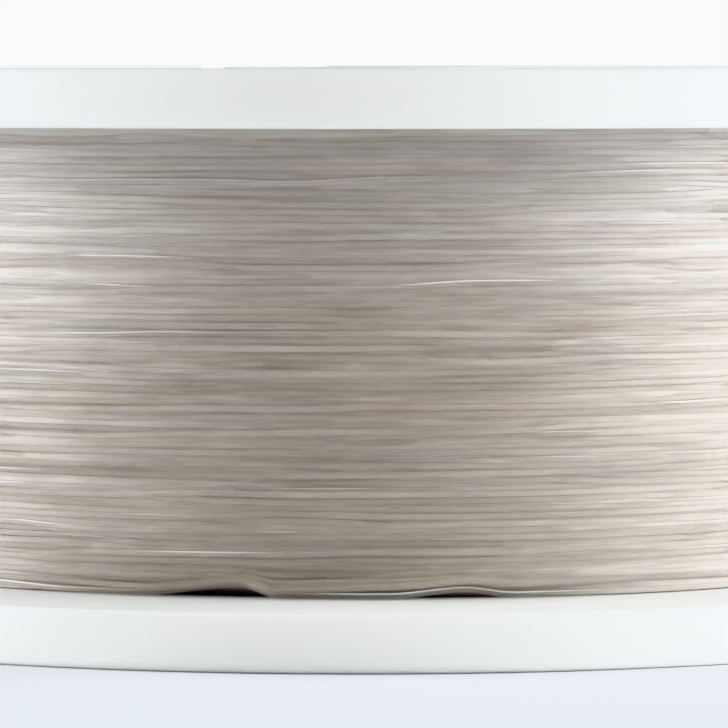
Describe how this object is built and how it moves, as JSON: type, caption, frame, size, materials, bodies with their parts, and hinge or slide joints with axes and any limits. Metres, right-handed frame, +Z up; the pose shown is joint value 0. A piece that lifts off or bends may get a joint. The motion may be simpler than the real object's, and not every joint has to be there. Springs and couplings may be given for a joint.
{
  "type": "fishing line spool",
  "caption": "Flanged plastic filler spool wound with clear monofilament fishing line; flexible clips at the rim hold the line's free end.",
  "frame": {"origin": "on the spool's axis, level with the underside of the lower rim", "axes": "+Z up along the spool's axis; -Y is the side that the picture shows"},
  "size_m": [0.076, 0.076, 0.03],
  "materials": {
    "flange_plastic": "glossy white moulded polypropylene",
    "core_plastic": "satin natural-white moulded polypropylene",
    "nylon_line": "clear nylon monofilament, warm grey where it is wound",
    "label_paper": "printed, laminated paper"
  },
  "bodies": {
    "spool": {"core": "core_plastic", "lower_flange": "flange_plastic", "upper_flange": "flange_plastic", "lower_label": "label_paper", "upper_label": "label_paper", "line_winding": "nylon_line", "line_start": "nylon_line", "line_end": "nylon_line"},
    "lower_clip_1": {"lower_line_clip_1": "flange_plastic"},
    "lower_clip_2": {"lower_line_clip_2": "flange_plastic"},
    "lower_clip_3": {"lower_line_clip_3": "flange_plastic"},
    "upper_clip_1": {"upper_line_clip_1": "flange_plastic"},
    "upper_clip_2": {"upper_line_clip_2": "flange_plastic"},
    "upper_clip_3": {"upper_line_clip_3": "flange_plastic"}
  },
  "joints": [
    {"name": "lower_clip_1_flex", "type": "hinge", "parent": "spool", "child": "lower_clip_1", "pos_m": [0.02617, -0.00953, 0.0026], "axis": [0.342, 0.9397, 0], "range_deg": [-2, 10], "stiffness_Nm_per_rad": 0.12},
    {"name": "lower_clip_2_flex", "type": "hinge", "parent": "spool", "child": "lower_clip_2", "pos_m": [-0.00484, 0.02743, 0.0026], "axis": [-0.9848, -0.1736, 0], "range_deg": [-2, 10], "stiffness_Nm_per_rad": 0.12},
    {"name": "lower_clip_3_flex", "type": "hinge", "parent": "spool", "child": "lower_clip_3", "pos_m": [-0.02133, -0.0179, 0.0026], "axis": [0.6428, -0.766, 0], "range_deg": [-2, 10], "stiffness_Nm_per_rad": 0.12},
    {"name": "upper_clip_1_flex", "type": "hinge", "parent": "spool", "child": "upper_clip_1", "pos_m": [-0.02133, -0.0179, 0.0274], "axis": [-0.6428, 0.766, 0], "range_deg": [-2, 10], "stiffness_Nm_per_rad": 0.12},
    {"name": "upper_clip_2_flex", "type": "hinge", "parent": "spool", "child": "upper_clip_2", "pos_m": [-0.00484, 0.02743, 0.0274], "axis": [0.9848, 0.1736, 0], "range_deg": [-2, 10], "stiffness_Nm_per_rad": 0.12},
    {"name": "upper_clip_3_flex", "type": "hinge", "parent": "spool", "child": "upper_clip_3", "pos_m": [0.02617, -0.00953, 0.0274], "axis": [-0.342, -0.9397, 0], "range_deg": [-2, 10], "stiffness_Nm_per_rad": 0.12}
  ]
}
